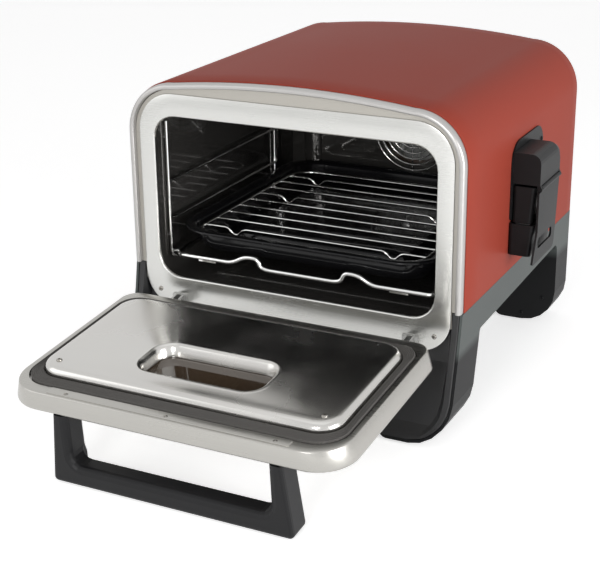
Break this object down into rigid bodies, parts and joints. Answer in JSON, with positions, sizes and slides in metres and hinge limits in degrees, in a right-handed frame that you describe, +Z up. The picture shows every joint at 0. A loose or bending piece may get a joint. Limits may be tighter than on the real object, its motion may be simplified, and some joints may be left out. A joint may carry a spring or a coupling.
{
  "type": "electric countertop oven",
  "caption": "Countertop oven with a drop-down door, a pull-out wire frame with a pan and a roast rack, and a side smoke box with a lifting lid.",
  "frame": {"origin": "on the floor, at the middle of the overall footprint at rest, with the door open and the wire frame pushed in", "axes": "+X to the viewer's right as one faces the door, +Y towards the oven's back, +Z up"},
  "size_m": [0.4622, 0.7302, 0.386],
  "materials": {
    "outer_cover": "matte terracotta paint with a fine satin grain",
    "front_rim": "satin silver paint",
    "face_plate": "brushed, fine grain across",
    "front_bulkhead": "satin",
    "cavity_liner": "glossy dark enamel with fine flecks",
    "cavity_back": "glossy dark enamel with fine flecks",
    "fan_grille": "polished wire",
    "convection_fan": "satin",
    "fan_motor": "satin",
    "fan_shroud": "satin",
    "upper_element": "heat-darkened",
    "lower_element": "heat-darkened",
    "temperature_probe": "polished",
    "rack_guide_left": "polished wire",
    "rack_guide_right": "polished wire",
    "accessory_frame": "polished wire",
    "pan": "glossy black enamel",
    "roast_rack": "polished wire",
    "base_housing": "fine moulded grain",
    "front_panel": "satin",
    "control_board": "solder mask",
    "control_box_lid": "plain",
    "left_dial": "satin with fine grips",
    "right_dial": "satin with fine grips",
    "button_1": "satin",
    "button_2": "satin",
    "display_window": "dark gloss",
    "door_shell": "brushed, fine grain across",
    "door_outer_glass": "dark tinted",
    "door_gasket": "ribbed woven seal",
    "door_inner_panel": "mirror-polished steel",
    "door_inner_glass": "dark brown tint",
    "door_handle": "fine satin grain",
    "door_lug_left": "plain",
    "door_lug_right": "plain",
    "hinge_bracket_left": "plain",
    "hinge_bracket_right": "plain",
    "hinge_pin_left": "ground pin",
    "hinge_pin_right": "ground pin",
    "smoke_flange": "satin dark grey",
    "smoke_hood": "satin dark grey",
    "smoke_lid_pin": "ground pin",
    "smoke_chute": "satin dark grey",
    "smoke_tray": "satin dark grey",
    "pellet_basket": "plain",
    "smoke_lid": "satin dark grey",
    "rear_cover": "fine texture paint",
    "rear_duct_cover": "fine texture paint",
    "cord_gland": "moulded",
    "foot_left_front": "moulded",
    "foot_left_rear": "moulded",
    "foot_right_front": "moulded",
    "foot_right_rear": "moulded"
  },
  "bodies": {
    "oven": {"outer_cover": "outer_cover", "front_rim": "front_rim", "face_plate": "face_plate", "front_bulkhead": "front_bulkhead", "cavity_liner": "cavity_liner", "cavity_back": "cavity_back", "fan_grille": "fan_grille", "fan_motor": "fan_motor", "fan_shroud": "fan_shroud", "upper_element": "upper_element", "lower_element": "lower_element", "temperature_probe": "temperature_probe", "rack_guide_left": "rack_guide_left", "rack_guide_right": "rack_guide_right", "base_housing": "base_housing", "front_panel": "front_panel", "control_board": "control_board", "control_box_lid": "control_box_lid", "display_window": "display_window", "hinge_bracket_left": "hinge_bracket_left", "hinge_bracket_right": "hinge_bracket_right", "hinge_pin_left": "hinge_pin_left", "hinge_pin_right": "hinge_pin_right", "smoke_flange": "smoke_flange", "smoke_hood": "smoke_hood", "smoke_lid_pin": "smoke_lid_pin", "smoke_chute": "smoke_chute", "smoke_tray": "smoke_tray", "pellet_basket": "pellet_basket", "rear_cover": "rear_cover", "rear_duct_cover": "rear_duct_cover", "cord_gland": "cord_gland", "foot_left_front": "foot_left_front", "foot_left_rear": "foot_left_rear", "foot_right_front": "foot_right_front", "foot_right_rear": "foot_right_rear"},
    "door": {"door_shell": "door_shell", "door_outer_glass": "door_outer_glass", "door_gasket": "door_gasket", "door_inner_panel": "door_inner_panel", "door_inner_glass": "door_inner_glass", "door_handle": "door_handle", "door_lug_left": "door_lug_left", "door_lug_right": "door_lug_right"},
    "wire_frame": {"accessory_frame": "accessory_frame"},
    "pan": {"pan": "pan"},
    "roast_rack": {"roast_rack": "roast_rack"},
    "smoke_lid": {"smoke_lid": "smoke_lid"},
    "left_dial": {"left_dial": "left_dial"},
    "right_dial": {"right_dial": "right_dial"},
    "button_1": {"button_1": "button_1"},
    "button_2": {"button_2": "button_2"},
    "fan": {"convection_fan": "convection_fan"}
  },
  "joints": [
    {"name": "door_hinge", "type": "hinge", "parent": "oven", "child": "door", "pos_m": [-0.0191, -0.10056, 0.1035], "axis": [1, 0, 0], "range_deg": [-94.45, 0]},
    {"name": "rack_slide", "type": "slide", "parent": "oven", "child": "wire_frame", "axis": [0, -1, 0], "range_m": [0, 0.186]},
    {"name": "pan_lift", "type": "slide", "parent": "wire_frame", "child": "pan", "axis": [0, 0, 1], "range_m": [0, 0.05]},
    {"name": "roast_rack_lift", "type": "slide", "parent": "pan", "child": "roast_rack", "axis": [0, 0, 1], "range_m": [0, 0.06]},
    {"name": "smoke_lid_hinge", "type": "hinge", "parent": "oven", "child": "smoke_lid", "pos_m": [0.2281, 0.11534, 0.256], "axis": [0, -1, 0], "range_deg": [0, 100]},
    {"name": "left_dial_turn", "type": "hinge", "parent": "oven", "child": "left_dial", "pos_m": [-0.1171, -0.08061, 0.0695], "axis": [0, -0.9141, 0.4055], "range_deg": [0, 270]},
    {"name": "right_dial_turn", "type": "hinge", "parent": "oven", "child": "right_dial", "pos_m": [0.0789, -0.08061, 0.0695], "axis": [0, -0.9141, 0.4055], "continuous": true},
    {"name": "button_1_press", "type": "slide", "parent": "oven", "child": "button_1", "axis": [0, 0.9141, -0.4055], "range_m": [0, 0.001], "stiffness_N_per_m": 500},
    {"name": "button_2_press", "type": "slide", "parent": "oven", "child": "button_2", "axis": [0, 0.9141, -0.4055], "range_m": [0, 0.001], "stiffness_N_per_m": 500},
    {"name": "fan_spin", "type": "hinge", "parent": "oven", "child": "fan", "pos_m": [-0.0191, 0.31184, 0.247], "axis": [0, 1, 0], "continuous": true}
  ]
}
